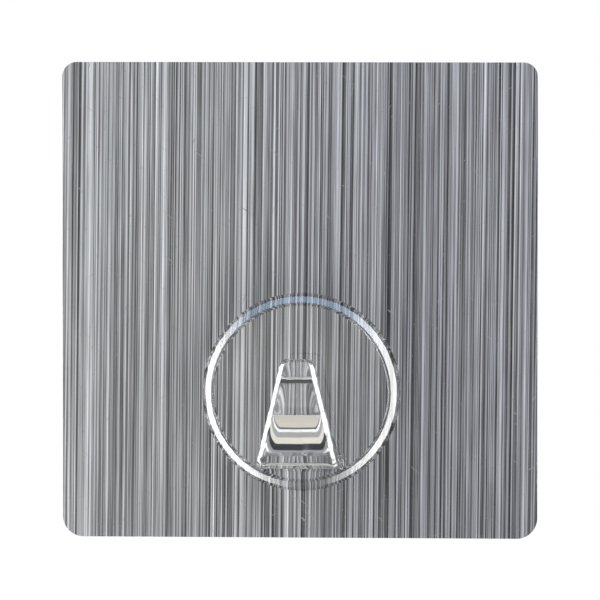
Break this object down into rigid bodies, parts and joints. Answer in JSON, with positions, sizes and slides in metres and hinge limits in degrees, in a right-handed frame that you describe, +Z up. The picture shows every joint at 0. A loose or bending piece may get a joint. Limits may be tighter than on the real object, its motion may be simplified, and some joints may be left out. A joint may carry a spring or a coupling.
{
  "type": "wall hook",
  "caption": "Adhesive wall hook: a clear moulded hook on a round rimmed base, bonded low on a square sticky-backed sheet with a brushed-metal print, for hanging light household things",
  "frame": {"origin": "middle of the adhesive face on the back of the sheet, in the plane of the wall", "axes": "+X to the right as seen from the room, +Y into the wall, +Z up the wall"},
  "size_m": [0.06, 0.0107, 0.06],
  "materials": {
    "wall_adhesive": "tacky clear gel, slightly cloudy",
    "backing_sheet": "pale grey vinyl, die-cut edge",
    "brushed_print_film": "printed vertical brushed-metal pattern in greys",
    "clear_face_film": "clear glossy film",
    "hook_bond": "clear cured glue",
    "hook_moulding": "clear polished polycarbonate"
  },
  "bodies": {
    "root": {"wall_adhesive": "wall_adhesive", "backing_sheet": "backing_sheet", "brushed_print_film": "brushed_print_film", "clear_face_film": "clear_face_film", "hook_bond": "hook_bond", "hook_moulding": "hook_moulding"}
  },
  "joints": []
}
